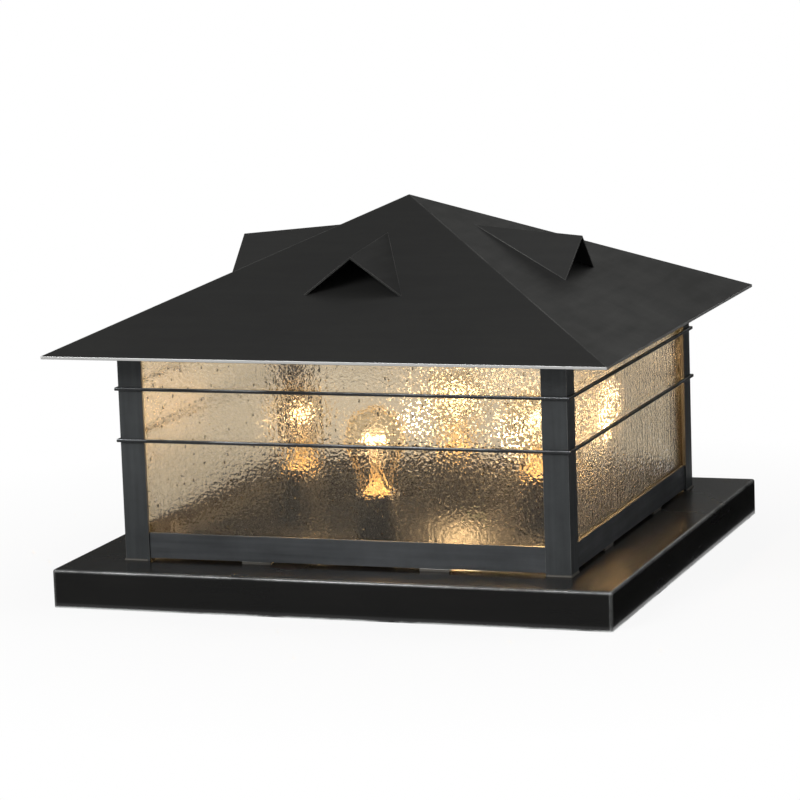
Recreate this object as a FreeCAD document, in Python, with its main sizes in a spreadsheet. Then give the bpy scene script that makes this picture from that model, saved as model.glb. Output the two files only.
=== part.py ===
import FreeCAD, Part
import math
import os
import Sketcher

# A lantern that caps a square deck post or pier: a folded steel tray slips over the
# post, a welded frame of angle and bar stands on it and holds four panes, four
# lampholders stand inside, and a hipped sheet roof with four dormers lifts off.
# Millimetres, +Z up, front towards -Y, origin at the middle of the tray's lower rim.

V = FreeCAD.Vector
UP = V(0, 0, 1)
SIDES = {"front": 0, "right": 90, "back": 180, "left": 270}
CORNERS = {"front_left": 0, "front_right": 90, "back_right": 180, "back_left": 270}
PAST = "1"  # how far the outline of a cut reaches past the metal

doc = FreeCAD.newDocument("PostCapLight")

# ---------------------------------------------------------------- driving sizes

SIZES = [
    ("post_side", "558.8", "square post or pier that the tray slips over, 22 in"),
    ("post_play", "1.5", "room between the post and the tray's skirt, each side"),
    ("deck_sheet", "2.7", "12 gauge sheet of the tray"),
    ("skirt_depth", "38.1", "height of the tray, 1 1/2 in"),
    ("bend_radius", "2.5", "outside radius of the tray's bends"),
    ("anchor_spacing", "360", "holes for the anchors into the post, each way"),
    ("anchor_hole", "9.5", "diameter of an anchor hole, for 3/8 in"),
    ("body_side", "457.2", "outside of the framed body, 18 in"),
    ("frame_height", "232.5", "corner posts, from tray to roof"),
    ("leg", "25.4", "leg of the corner angle, 1 in"),
    ("leg_wall", "3.2", "wall of the corner angle, 1/8 in"),
    ("rail_height", "25.4", "upright leg of the rails, 1 in"),
    ("rail_shelf", "19", "shelf of the bottom rails, inwards, 3/4 in"),
    ("rail_wall", "3.2", "thickness of the rails, 1/8 in"),
    ("rail_recess", "1.6", "rails stand back from the faces of the posts"),
    ("rail_gap", "2.5", "gap under the bottom rails"),
    ("rail_drop", "3.2", "top rails stand lower than the posts, which carry the roof"),
    ("pad_length", "30", "weld pads under the bottom rails"),
    ("pad_depth", "6", "weld pads, across the rail"),
    ("pad_place", "91.4", "weld pads, from the middle of the side"),
    ("glass", "3.2", "pane, 1/8 in seedy glass"),
    ("pane_gap", "1", "between the panes at a corner"),
    ("pane_lift", "2", "setting blocks under the panes"),
    ("pane_lap", "6.4", "pane behind the top rail, 1/4 in"),
    ("block_length", "25", "setting block, along the pane"),
    ("strip_width", "8", "glazing strip behind the leg of a post"),
    ("strip_setback", "4", "glazing strip, back from the edge of the leg"),
    ("clip_sheet", "1.5", "sheet of the glass clips"),
    ("clip_width", "20", "glass clip, along the pane"),
    ("clip_foot", "9", "lower glass clip, foot on the shelf"),
    ("clip_leg", "12", "lower glass clip, leg behind the pane"),
    ("clip_lap", "6", "upper glass clip, behind the pane"),
    ("clip_lift", "1", "upper glass clip, above the pane"),
    ("clip_drop", "2", "upper glass clip, below the rail's top"),
    ("clip_place", "120", "glass clips, from the middle of the side"),
    ("clip_play", "0.4", "between a glass clip and the pane"),
    ("clip_screw", "3", "clip screw, M3"),
    ("clip_head", "5.5", "head of the clip screw, across"),
    ("clip_head_height", "1.6", "head of the clip screw, high"),
    ("clip_screw_drop", "8", "clip screw below the top rail's top"),
    ("screw_play", "0.05", "round a screw in its hole, on the radius"),
    ("ring_bar", "3.175", "square bar of the trim rings, 1/8 in"),
    ("lower_ring", "118.3", "underside of the lower trim ring, above the tray"),
    ("upper_ring", "169.4", "underside of the upper trim ring, above the tray"),
    ("roof_overhang", "55.6", "eave beyond the body"),
    ("roof_rise", "127", "eave to apex, 5 in"),
    ("roof_sheet", "2.7", "12 gauge sheet of the roof"),
    ("dormer_sheet", "1.9", "14 gauge sheet of the dormers"),
    ("dormer_width", "102", "between the feet of a dormer"),
    ("dormer_depth", "109.5", "foot to the back end of the ridge"),
    ("dormer_setback", "106.8", "from the eave to the feet"),
    ("dormer_height", "38.3", "feet to the front of the ridge"),
    ("dormer_lip", "3.6", "the ridge's front leans out past the feet"),
    ("lug_sheet", "3.2", "lugs under the roof, inside the top rails"),
    ("lug_width", "40", "lug, along the rail"),
    ("lug_play", "0.8", "between a lug and the rail"),
    ("lug_lift", "1.5", "between a lug and the pane's top"),
    ("thumb_screw", "5", "roof screw, M5"),
    ("thumb_head", "10", "knurled head of the roof screw, across"),
    ("thumb_head_length", "6", "knurled head of the roof screw, long"),
    ("thumb_place", "13.5", "roof screw below the frame's top"),
    ("thumb_play", "0.3", "between the roof screw's tip and its lug, and under its head"),
    ("lamp_circle", "254", "across opposite lamps, 10 in"),
    ("holder_width", "39.5", "lampholder, across"),
    ("holder_height", "55", "lampholder, high"),
    ("holder_wall", "5.2", "wall of the lampholder's cup"),
    ("holder_floor", "27.5", "floor of the lampholder's cup, above the tray"),
    ("holder_seam", "33", "seam groove round the lampholder, above the tray"),
    ("seam_size", "0.9", "seam groove, wide and deep"),
    ("shell_sheet", "0.6", "screw shell in the lampholder"),
    ("contact_width", "14", "centre contact, across, over the nipple's hole"),
    ("contact_height", "2.5", "centre contact, high"),
    ("cap_width", "26", "screw cap of the lamp, E26"),
    ("cap_height", "25.4", "screw cap of the lamp, tip to glass"),
    ("cap_tip", "9.5", "contact at the tip of the screw cap, across"),
    ("cap_button", "1.6", "contact at the tip of the screw cap, high"),
    ("cap_taper", "6.5", "tip of the lamp to the wide part of its screw cap"),
    ("bulb_width", "60.3", "lamp bulb, 2 3/8 in"),
    ("bulb_height", "85.3", "lamp bulb above its cap"),
    ("bulb_neck", "31", "neck of the bulb, across"),
    ("bulb_sheet", "0.8", "wall of the bulb"),
    ("bulb_seal", "3", "neck drawn in to the cap"),
    ("stem_width", "9", "foot of the glass stem in the lamp"),
    ("stem_height", "32", "glass stem in the lamp"),
    ("filament_height", "52", "filament above the lamp's cap"),
    ("filament_width", "24", "filament, between its two supports"),
    ("filament_wire", "1.2", "filament and its supports, across"),
    ("nipple_width", "10.2", "threaded nipple, 1/8 IP"),
    ("nipple_bore", "7", "bore of the nipple"),
    ("nipple_reach", "10", "nipple inside the lampholder"),
    ("nipple_stub", "2", "nipple below its locknut"),
    ("nut_width", "15.9", "locknut across the corners"),
    ("nut_height", "3.5", "locknut"),
    ("block_side", "36", "terminal block, square"),
    ("block_depth", "20", "terminal block below the tray's sheet"),
    ("block_round", "4", "upright corners of the terminal block"),
    ("lead_width", "2.6", "insulated lead, across"),
    ("lead_spacing", "3", "between the two leads of a pair"),
    ("lead_bend", "8", "bend of a lead below its nipple"),
    ("ground_screw", "4.8", "ground screw, No. 10"),
    ("ground_head", "9.5", "hexagon head of the ground screw, across the corners"),
    ("ground_head_height", "4", "head of the ground screw, high"),
    ("ground_place", "45", "ground screw from the middle, each way"),
]

PLACES = [
    ("deck_half", "Sizes.post_side / 2 + Sizes.post_play + Sizes.deck_sheet"),
    ("deck_inner", "deck_half - Sizes.deck_sheet"),
    ("deck_top", "Sizes.skirt_depth"),
    ("body_half", "Sizes.body_side / 2"),
    ("leg_back", "body_half - Sizes.leg_wall"),
    ("leg_edge", "body_half - Sizes.leg"),
    ("rail_front", "body_half - Sizes.rail_recess"),
    ("rail_back", "rail_front - Sizes.rail_wall"),
    ("shelf_top", "Sizes.rail_gap + Sizes.rail_wall"),
    ("pane_foot", "shelf_top + Sizes.pane_lift"),
    ("rail_top", "Sizes.frame_height - Sizes.rail_drop"),
    ("rail_under", "rail_top - Sizes.rail_height"),
    ("pane_back", "rail_back - Sizes.glass"),
    ("pane_half", "pane_back - Sizes.pane_gap"),
    ("pane_top", "rail_under + Sizes.pane_lap"),
    ("clip_front", "pane_back - Sizes.clip_play"),
    ("clip_back", "clip_front - Sizes.clip_sheet"),
    ("clip_step", "pane_top + Sizes.clip_lift"),
    ("clip_screw_height", "rail_top - Sizes.clip_screw_drop"),
    ("roof_half", "body_half + Sizes.roof_overhang"),
    ("slope", "Sizes.roof_rise / roof_half"),
    ("roof_upright", "Sizes.roof_sheet * sqrt(1 + slope ^ 2)"),
    ("under_apex", "Sizes.frame_height + slope * body_half"),
    ("apex", "under_apex + roof_upright"),
    ("dormer_foot", "roof_half - Sizes.dormer_setback"),
    ("dormer_back", "dormer_foot - Sizes.dormer_depth"),
    ("lug_front", "rail_back - Sizes.lug_play"),
    ("lug_back", "lug_front - Sizes.lug_sheet"),
    ("lug_under", "pane_top + Sizes.lug_lift"),
    ("thumb_height", "Sizes.frame_height - Sizes.thumb_place"),
    ("thumb_tip", "lug_front + Sizes.thumb_play"),
    ("thumb_seat", "rail_front + Sizes.thumb_play"),
    ("lamp_out", "Sizes.lamp_circle / 2"),
    ("holder_bore", "Sizes.holder_width / 2 - Sizes.holder_wall"),
    ("lamp_foot", "Sizes.holder_floor + Sizes.contact_height"),
    ("cap_top", "lamp_foot + Sizes.cap_height"),
    ("nipple_hole", "Sizes.nipple_width / 2 + Sizes.screw_play"),
    ("nut_under", "-Sizes.deck_sheet - Sizes.nut_height"),
    ("nipple_under", "nut_under - Sizes.nipple_stub"),
    ("lead_run", "nipple_under - Sizes.lead_bend"),
]


def fill_sheet(name, cells):
    """A sheet with one aliased cell for each size, and what it is beside it."""
    made = doc.addObject("Spreadsheet::Sheet", name)
    for row, (alias, content, *note) in enumerate(cells, start=1):
        made.set(f"A{row}", note[0] if note else alias.replace("_", " "))
        made.set(f"B{row}", content)
        made.setAlias(f"B{row}", alias)
    return made


sheet = fill_sheet("Sizes", SIZES)
places = fill_sheet("Places", [(alias, "=" + formula) for alias, formula in PLACES])
doc.recompute()

SIZE_NAMES = [alias for alias, *rest in SIZES]
PLACE_NAMES = [alias for alias, *rest in PLACES]


def cell(words):
    """The expression with each size and place named in full, such as Sizes.leg."""
    full = ""
    word = ""
    for letter in words + " ":
        if letter.isalnum() or letter in "_.":
            word += letter
            continue
        if word in SIZE_NAMES:
            word = "Sizes." + word
        elif word in PLACE_NAMES:
            word = "Places." + word
        full += word + letter
        word = ""
    return full.strip()


def number(words):
    """What the expression comes to now."""
    return float(sheet.evalExpression(cell(words)))


def roof_under(out):
    """Expression for the height of the roof's underside, out from the axis."""
    return f"(under_apex - slope * ({out}))"


def roof_top(out):
    """Expression for the height of the roof's upper face, out from the axis."""
    return f"(apex - slope * ({out}))"


# ---------------------------------------------------------------- how pieces are made

node_names = []


def name_node(made, label):
    """Give a finished piece the name that its file takes."""
    made.Label = label
    node_names.append(made.Name)
    return made


def new_body(label, turn=0, height="deck_top"):
    """A PartDesign body, turned about the lantern's axis and raised onto the tray."""
    made = doc.addObject("PartDesign::Body", label)
    made.AllowCompound = True
    made.Placement = FreeCAD.Placement(V(), FreeCAD.Rotation(UP, turn))
    made.setExpression("Placement.Base.z", cell(height))
    return name_node(made, label)


def origin_feature(body, role):
    return [feature for feature in body.Origin.OriginFeatures if feature.Role == role][0]


def new_sketch(body, role, height="0"):
    sketch = body.newObject("Sketcher::SketchObject", "Outline")
    sketch.AttachmentSupport = (origin_feature(body, role), [""])
    sketch.MapMode = "FlatFace"
    sketch.setExpression("AttachmentOffset.Base.z", cell(height))
    return sketch


def hold(sketch, kind, index, words):
    """Tie a point's distance from the origin, or a radius, to the sheet."""
    if kind == "Radius":
        constraint = Sketcher.Constraint("Radius", index, number(words))
    else:
        point = 3 if "Circle" in sketch.Geometry[index].TypeId else 1
        constraint = Sketcher.Constraint(kind, -1, 1, index, point, number(words))
    place = sketch.addConstraint(constraint)
    sketch.setExpression(f"Constraints[{place}]", cell(words))


def draw_loop(sketch, corners):
    """A closed loop of straight lines; each corner is a pair of expressions."""
    first = sketch.GeometryCount
    points = [V(number(x), number(y), 0) for x, y in corners]
    for index, point in enumerate(points):
        sketch.addGeometry(Part.LineSegment(point, points[(index + 1) % len(points)]))
    for index, (x, y) in enumerate(corners):
        following = first + (index + 1) % len(corners)
        sketch.addConstraint(Sketcher.Constraint("Coincident", first + index, 2, following, 1))
        hold(sketch, "DistanceX", first + index, x)
        hold(sketch, "DistanceY", first + index, y)


def draw_circle(sketch, x, y, radius):
    centre = V(number(x), number(y), 0)
    index = sketch.addGeometry(Part.Circle(centre, UP, number(radius)))
    hold(sketch, "DistanceX", index, x)
    hold(sketch, "DistanceY", index, y)
    hold(sketch, "Radius", index, radius)


def rectangle(x_low, x_high, y_low, y_high):
    return [(x_low, y_low), (x_high, y_low), (x_high, y_high), (x_low, y_high)]


def pair(place, half_width, y_low, y_high):
    """Two equal rectangles, one each side of the middle."""
    right = rectangle(f"{place} - {half_width}", f"{place} + {half_width}", y_low, y_high)
    left = rectangle(f"-({place}) - {half_width}", f"-({place}) + {half_width}", y_low, y_high)
    return [right, left]


def hexagon(x, y, radius):
    """The six corners of a hexagon, as pairs of expressions."""
    half = f"({radius}) / 2"
    high = f"({radius}) * sqrt(3) / 2"
    return [
        (f"{x} + {radius}", y),
        (f"{x} + {half}", f"{y} + {high}"),
        (f"{x} - {half}", f"{y} + {high}"),
        (f"{x} - {radius}", y),
        (f"{x} - {half}", f"{y} - {high}"),
        (f"{x} + {half}", f"{y} - {high}"),
    ]


def pad(body, loops, length, height="0", circles=(), role="XY_Plane", both_ways=False):
    """Raise loops and circles, given as expressions, from a plane of the body."""
    sketch = new_sketch(body, role, height)
    for loop in loops:
        draw_loop(sketch, loop)
    for circle in circles:
        draw_circle(sketch, *circle)
    feature = body.newObject("PartDesign::Pad", "Raised")
    feature.Profile = sketch
    if both_ways:
        feature.SideType = "Symmetric"
    feature.setExpression("Length", cell(length))
    doc.recompute()
    return feature


def cut_through(body, circles=(), loops=(), role="XY_Plane"):
    """Cut circles and loops right through the body, both ways from the plane."""
    sketch = new_sketch(body, role)
    for loop in loops:
        draw_loop(sketch, loop)
    for circle in circles:
        draw_circle(sketch, *circle)
    volume = body.Shape.Volume
    feature = body.newObject("PartDesign::Pocket", "Cut")
    feature.Profile = sketch
    feature.Type = "ThroughAll"
    feature.SideType = "Symmetric"
    doc.recompute()
    if not body.Shape.Volume < volume:
        raise RuntimeError(f"{body.Label}: a cut removes nothing")
    return feature


def turn_profile(body, corners, role="XZ_Plane", axis="Z_Axis"):
    """Turn an outline of (radius, along) pairs about an axis of the body."""
    sketch = new_sketch(body, role)
    draw_loop(sketch, corners)
    feature = body.newObject("PartDesign::Revolution", "Turned")
    feature.Profile = sketch
    feature.ReferenceAxis = (origin_feature(body, axis), [""])
    feature.Angle = 360
    doc.recompute()
    return feature


def round_edges(body, feature, edges, radius):
    """Fillet named edges of a body's feature."""
    rounded = body.newObject("PartDesign::Fillet", "Rounded")
    rounded.Base = (feature, edges)
    rounded.setExpression("Radius", cell(radius))
    doc.recompute()


def on_four_sides(body, features):
    """Repeat features of the front side on the other three."""
    pattern = body.newObject("PartDesign::PolarPattern", "FourSides")
    pattern.Originals = features
    pattern.Axis = (origin_feature(body, "Z_Axis"), [""])
    pattern.Angle = 360
    pattern.Occurrences = len(SIDES)
    body.Tip = pattern
    doc.recompute()


def place_lamp_piece(made, turn):
    """Put a piece made about its own axis at its lamp's place round the lantern."""
    direction = V(round(math.sin(math.radians(turn))), -round(math.cos(math.radians(turn))), 0)
    made.Placement = FreeCAD.Placement(V(), FreeCAD.Rotation(UP, turn))
    made.setExpression("Placement.Base.x", cell(f"{direction.x} * lamp_out"))
    made.setExpression("Placement.Base.y", cell(f"{direction.y} * lamp_out"))
    made.setExpression("Placement.Base.z", cell("deck_top"))


LAMP = ("0", "-lamp_out")


# ---------------------------------------------------------------- tray over the post

def make_deck_plate():
    """Sheet folded down on four sides, with its corners welded and dressed."""
    body = new_body("deck_plate", height="0")
    square = rectangle("-deck_half", "deck_half", "-deck_half", "deck_half")
    plate = pad(body, [square], "skirt_depth")
    bends = []
    for index, edge in enumerate(plate.Shape.Edges, start=1):
        on_lower_rim = edge.BoundBox.ZMax < number("bend_radius")
        if not on_lower_rim:
            bends.append(f"Edge{index}")
    round_edges(body, plate, bends, "bend_radius")
    hollow = new_sketch(body, "XY_Plane")
    draw_loop(hollow, rectangle("-deck_inner", "deck_inner", "-deck_inner", "deck_inner"))
    pocket = body.newObject("PartDesign::Pocket", "Hollow")
    pocket.Profile = hollow
    pocket.Reversed = True
    pocket.setExpression("Length", cell("skirt_depth - deck_sheet"))
    doc.recompute()
    half = "anchor_spacing / 2"
    anchors = [(x, y, "anchor_hole / 2") for x in (half, f"-{half}") for y in (half, f"-{half}")]
    wires = [
        ("0", "-lamp_out", "nipple_hole"),
        ("lamp_out", "0", "nipple_hole"),
        ("0", "lamp_out", "nipple_hole"),
        ("-lamp_out", "0", "nipple_hole"),
    ]
    ground = [("ground_place", "ground_place", "ground_screw / 2 + screw_play")]
    cut_through(body, anchors + wires + ground)


# ---------------------------------------------------------------- welded frame

def make_corner_post(corner, turn):
    """Hot-rolled angle, its heel outwards, standing on the tray."""
    body = new_body(f"corner_post_{corner}", turn)
    section = [
        ("-body_half", "-body_half"),
        ("-leg_edge", "-body_half"),
        ("-leg_edge", "-leg_back"),
        ("-leg_back", "-leg_back"),
        ("-leg_back", "-leg_edge"),
        ("-body_half", "-leg_edge"),
    ]
    pad(body, [section], "frame_height")


def make_bottom_rail(side, turn):
    """Angle between two posts, a little above the tray; the pane stands on its shelf."""
    body = new_body(f"bottom_rail_{side}", turn)
    shelf_back = "-rail_front + rail_shelf"
    top = "rail_gap + rail_height"
    section = [
        ("-rail_front", "rail_gap"),
        (shelf_back, "rail_gap"),
        (shelf_back, "shelf_top"),
        ("-rail_back", "shelf_top"),
        ("-rail_back", top),
        ("-rail_front", top),
    ]
    pad(body, [section], "2 * leg_edge", role="YZ_Plane", both_ways=True)


def make_top_rail(side, turn):
    """Flat bar under the eave, tapped for two clip screws and a roof screw."""
    body = new_body(f"top_rail_{side}", turn)
    section = rectangle("-rail_front", "-rail_back", "rail_under", "rail_top")
    pad(body, [section], "2 * leg_edge", role="YZ_Plane", both_ways=True)
    holes = [("0", "thumb_height", "thumb_screw / 2 + screw_play")]
    for place in ("clip_place", "-clip_place"):
        holes.append((place, "clip_screw_height", "clip_screw / 2 + screw_play"))
    cut_through(body, holes, role="XZ_Plane")


def make_rail_pads():
    """Short weld pads that join each bottom rail to the tray."""
    body = new_body("rail_pads")
    outlines = pair("pad_place", "pad_length / 2", "-rail_front", "-rail_front + pad_depth")
    on_four_sides(body, [pad(body, outlines, "rail_gap")])


def make_trim_ring(label, height):
    """Square bar bent round the four posts, with its ends welded."""
    body = new_body(label)
    inner = rectangle("-body_half", "body_half", "-body_half", "body_half")
    reach = "body_half + ring_bar"
    outer = rectangle(f"-({reach})", reach, f"-({reach})", reach)
    pad(body, [outer, inner], "ring_bar", height)


# ---------------------------------------------------------------- glazing

def make_pane(side, turn):
    """Flat pane that stands on its setting blocks, against the backs of the rails."""
    body = new_body(f"glass_pane_{side}", turn)
    plan = rectangle("-pane_half", "pane_half", "-rail_back", "-pane_back")
    pad(body, [plan], "pane_top - pane_foot", "pane_foot")


def make_strips_and_blocks():
    """Glazing strips between the posts and the panes, and rubber blocks under the panes."""
    strips = new_body("glazing_strips")
    middle = "leg_edge + strip_setback + strip_width / 2"
    outlines = pair(middle, "strip_width / 2", "-leg_back", "-rail_back")
    on_four_sides(strips, [pad(strips, outlines, "pane_top - pane_foot", "pane_foot")])

    blocks = new_body("setting_blocks")
    outlines = pair("clip_place", "block_length / 2", "-rail_back", "-pane_back")
    on_four_sides(blocks, [pad(blocks, outlines, "pane_lift", "shelf_top")])


def make_clips():
    """Clips inside the panes: the lower ones on the shelf, the upper ones on the top rail."""
    clips = new_body("glass_clips")
    half = "clip_width / 2"
    foot_plan = pair("clip_place", half, "-clip_front", "-clip_front + clip_foot")
    leg_plan = pair("clip_place", half, "-clip_front", "-clip_back")
    parts = [pad(clips, foot_plan, "clip_sheet", "shelf_top"), pad(clips, leg_plan, "clip_leg", "shelf_top")]
    stepped = [
        ("-rail_back", "clip_step"),
        ("-rail_back", "rail_top - clip_drop"),
        ("-rail_back + clip_sheet", "rail_top - clip_drop"),
        ("-rail_back + clip_sheet", "clip_step + clip_sheet"),
        ("-clip_back", "clip_step + clip_sheet"),
        ("-clip_back", "pane_top - clip_lap"),
        ("-clip_front", "pane_top - clip_lap"),
        ("-clip_front", "clip_step"),
    ]
    for start in ("clip_place - clip_width / 2", "-clip_place - clip_width / 2"):
        parts.append(pad(clips, [stepped], "clip_width", start, role="YZ_Plane"))
    places = [(place, "clip_screw_height") for place in ("clip_place", "-clip_place")]
    holes = [(x, z, "clip_screw / 2 + screw_play") for x, z in places]
    parts.append(cut_through(clips, holes, role="XZ_Plane"))
    on_four_sides(clips, parts)

    screws = new_body("clip_screws")
    shanks = [(x, z, "clip_screw / 2") for x, z in places]
    shank = pad(screws, [], "clip_sheet + rail_wall", "rail_back - clip_sheet", shanks, "XZ_Plane")
    heads = [(x, z, "clip_head / 2") for x, z in places]
    head_start = "rail_back - clip_sheet - clip_head_height"
    head = pad(screws, [], "clip_head_height", head_start, heads, "XZ_Plane")
    on_four_sides(screws, [shank, head])


# ---------------------------------------------------------------- roof that lifts off

def make_roof_panel(side, turn):
    """One triangular sheet, cut upright at the eave and welded along both hips."""
    body = new_body(f"roof_panel_{side}", turn)
    plan = [("-roof_half", "-roof_half"), ("roof_half", "-roof_half"), ("0", "0")]
    pad(body, [plan], "apex")
    rim = f"(roof_half + {PAST})"
    over = f"(apex + slope * {PAST} + {PAST})"
    above = [
        (f"-{rim}", roof_top(rim)),
        (PAST, roof_top(f"-{PAST}")),
        (PAST, over),
        (f"-{rim}", over),
    ]
    below = [
        (f"-{rim}", roof_under(rim)),
        (f"-{rim}", f"-{PAST}"),
        (PAST, f"-{PAST}"),
        (PAST, roof_under(f"-{PAST}")),
    ]
    cut_through(body, loops=[above, below], role="YZ_Plane")


def flat_sided(corners, faces):
    """Solid with straight edges; each face lists its corners by number."""
    sides = []
    for face in faces:
        loop = [corners[index] for index in face]
        sides.append(Part.Face(Part.makePolygon(loop + loop[:1])))
    return Part.makeSolid(Part.makeShell(sides))


def make_dormer(side, turn):
    """Sheet folded once along its ridge; both lower edges are welded to the roof."""
    half_width = number("dormer_width / 2")
    foot_out = number("dormer_foot")
    foot_height = number(roof_top("dormer_foot"))
    back = V(0, -number("dormer_back"), number(roof_top("dormer_back")))
    left = V(-half_width, -foot_out, foot_height)
    right = V(half_width, -foot_out, foot_height)
    peak = V(0, -foot_out - number("dormer_lip"), foot_height + number("dormer_height"))
    corners = [left, right, peak, back]
    wedge = flat_sided(corners, [(0, 1, 2), (0, 3, 1), (1, 3, 2), (2, 3, 0)])
    cheek = (right - peak).cross(back - peak)
    drop = number("dormer_sheet") * cheek.Length / abs(cheek.z)
    # Grown from its back corner and let down by one sheet, the wedge cuts the open underside.
    growth = 2
    hollow = wedge.copy()
    hollow.scale(growth, back)
    hollow.translate(V(0, 0, -drop))
    made = doc.addObject("Part::Feature", f"dormer_{side}")
    made.Shape = wedge.cut(hollow)
    made.Placement = FreeCAD.Placement(V(0, 0, number("deck_top")), FreeCAD.Rotation(UP, turn))
    name_node(made, f"dormer_{side}")


def make_roof_lugs():
    """Plates welded under the roof that drop in behind the top rails and centre it."""
    body = new_body("roof_lugs")
    section = [
        ("-lug_front", "lug_under"),
        ("-lug_back", "lug_under"),
        ("-lug_back", roof_under("lug_back")),
        ("-lug_front", roof_under("lug_front")),
    ]
    on_four_sides(body, [pad(body, [section], "lug_width", role="YZ_Plane", both_ways=True)])


def make_roof_screw(side, turn):
    """Knurled screw through the top rail, whose tip bears on the roof's lug."""
    body = new_body(f"roof_screw_{side}", turn, "deck_top + thumb_height")
    shank = "thumb_screw / 2"
    head = "thumb_head / 2"
    profile = [
        ("0", "-thumb_tip"),
        (shank, "-thumb_tip"),
        (shank, "-thumb_seat"),
        (head, "-thumb_seat"),
        (head, "-thumb_seat - thumb_head_length"),
        ("0", "-thumb_seat - thumb_head_length"),
    ]
    turn_profile(body, profile, "XY_Plane", "Y_Axis")


# ---------------------------------------------------------------- lampholders and wiring

def make_socket(side, turn):
    """Black phenolic lampholder, screwed down on its nipple."""
    body = new_body(f"socket_{side}")
    outside = "holder_width / 2"
    groove = "holder_width / 2 - seam_size"
    profile = [
        ("nipple_hole", "0"),
        (outside, "0"),
        (outside, "holder_seam"),
        (groove, "holder_seam"),
        (groove, "holder_seam + seam_size"),
        (outside, "holder_seam + seam_size"),
        (outside, "holder_height"),
        ("holder_bore", "holder_height"),
        ("holder_bore", "holder_floor"),
        ("nipple_hole", "holder_floor"),
    ]
    turn_profile(body, profile)
    place_lamp_piece(body, turn)


def make_socket_shells():
    """Brass screw shells in the lampholders, each with its centre contact."""
    body = new_body("socket_shells")
    rings = [(*LAMP, "holder_bore"), (*LAMP, "holder_bore - shell_sheet")]
    shell = pad(body, [], "holder_height - holder_floor", "holder_floor", rings)
    contact = pad(body, [], "contact_height", "holder_floor", [(*LAMP, "contact_width / 2")])
    on_four_sides(body, [shell, contact])


def make_nipples_and_nuts():
    """Hollow threaded nipples through the tray, and the locknuts under it."""
    nipples = new_body("socket_nipples")
    tube = [(*LAMP, "nipple_width / 2"), (*LAMP, "nipple_bore / 2")]
    on_four_sides(nipples, [pad(nipples, [], "nipple_reach - nipple_under", "nipple_under", tube)])

    nuts = new_body("socket_locknuts")
    outline = hexagon(*LAMP, "nut_width / 2")
    hole = [(*LAMP, "nipple_hole")]
    on_four_sides(nuts, [pad(nuts, [outline], "nut_height", "nut_under", hole)])


def make_terminal_block():
    """Moulded block under the tray, where the leads meet the supply."""
    body = new_body("terminal_block")
    half = "block_side / 2"
    square = rectangle(f"-{half}", half, f"-{half}", half)
    block = pad(body, [square], "block_depth", "-deck_sheet - block_depth")
    upright = []
    for index, edge in enumerate(block.Shape.Edges, start=1):
        if math.isclose(edge.BoundBox.ZLength, edge.Length):
            upright.append(f"Edge{index}")
    round_edges(body, block, upright, "block_round")


def make_leads():
    """Two leads from each lampholder, down its nipple and along under the tray."""
    radius = number("lead_width / 2")
    bend = number("lead_bend")
    out = number("lamp_out")
    straight_end = number("nipple_under")
    run_height = number("lead_run")
    middle = bend * math.sqrt(0.5)
    made = []
    for turn in SIDES.values():
        for aside in (-number("lead_spacing / 2"), number("lead_spacing / 2")):
            top = V(aside, -out, number("nipple_reach"))
            bend_start = V(aside, -out, straight_end)
            bend_middle = V(aside, -out + bend - middle, straight_end - middle)
            bend_end = V(aside, -out + bend, run_height)
            block_face = V(aside, -number("block_side / 2"), run_height)
            path = Part.Wire([
                Part.LineSegment(top, bend_start).toShape(),
                Part.Arc(bend_start, bend_middle, bend_end).toShape(),
                Part.LineSegment(bend_end, block_face).toShape(),
            ])
            section = Part.Wire(Part.makeCircle(radius, top, V(0, 0, -1)))
            lead = path.makePipeShell([section], True, False)
            lead.rotate(V(), UP, turn)
            made.append(lead)
            expected = math.pi * radius ** 2 * path.Length
            print(f"lead: bend radius {bend:g}, volume {lead.Volume:.2f}, expected {expected:.2f}")
    leads = doc.addObject("Part::Feature", "lead_wires")
    leads.Shape = Part.makeCompound(made)
    leads.Placement = FreeCAD.Placement(V(0, 0, number("deck_top")), FreeCAD.Rotation())
    name_node(leads, "lead_wires")


def make_ground_screw():
    """Hexagon screw up into the tray's sheet, for the bonding conductor."""
    body = new_body("ground_screw")
    middle = ("ground_place", "ground_place")
    under = "-deck_sheet - ground_head_height"
    pad(body, [hexagon(*middle, "ground_head / 2")], "ground_head_height", under)
    pad(body, [], "deck_sheet", "-deck_sheet", [(*middle, "ground_screw / 2")])


# ---------------------------------------------------------------- lamps

def bulb_outline(inset):
    """Half of the bulb's outline, moved in by inset: a ball that flares out of its neck."""
    ball = number("bulb_width / 2") - inset
    neck = number("bulb_neck / 2") - inset
    tip = number("cap_top + bulb_height") - inset
    seal = number("cap_top")
    neck_top = seal + number("bulb_seal")
    middle = tip - ball
    reach = middle - neck_top
    # The flare is an arc that leaves the neck upright and meets the ball smoothly.
    flare = (reach ** 2 + neck ** 2 - ball ** 2) / (2 * (ball - neck))
    share = ball / (ball + flare)
    meet = V((neck + flare) * share, 0, middle + (neck_top - middle) * share)
    flare_turn = math.atan2(meet.z - neck_top, neck + flare - meet.x) / 2
    on_flare = V(neck + flare - flare * math.cos(flare_turn), 0, neck_top + flare * math.sin(flare_turn))
    # The ball's arc passes through its own point at 45 degrees, well above the flare.
    half_up = math.radians(45)
    shoulder = V(ball * math.cos(half_up), 0, middle + ball * math.sin(half_up))
    foot = V(number("cap_width / 2") - inset, 0, seal)
    neck_point = V(neck, 0, neck_top)
    return [
        Part.LineSegment(foot, neck_point).toShape(),
        Part.Arc(neck_point, on_flare, meet).toShape(),
        Part.Arc(meet, shoulder, V(0, 0, tip)).toShape(),
    ]


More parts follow.
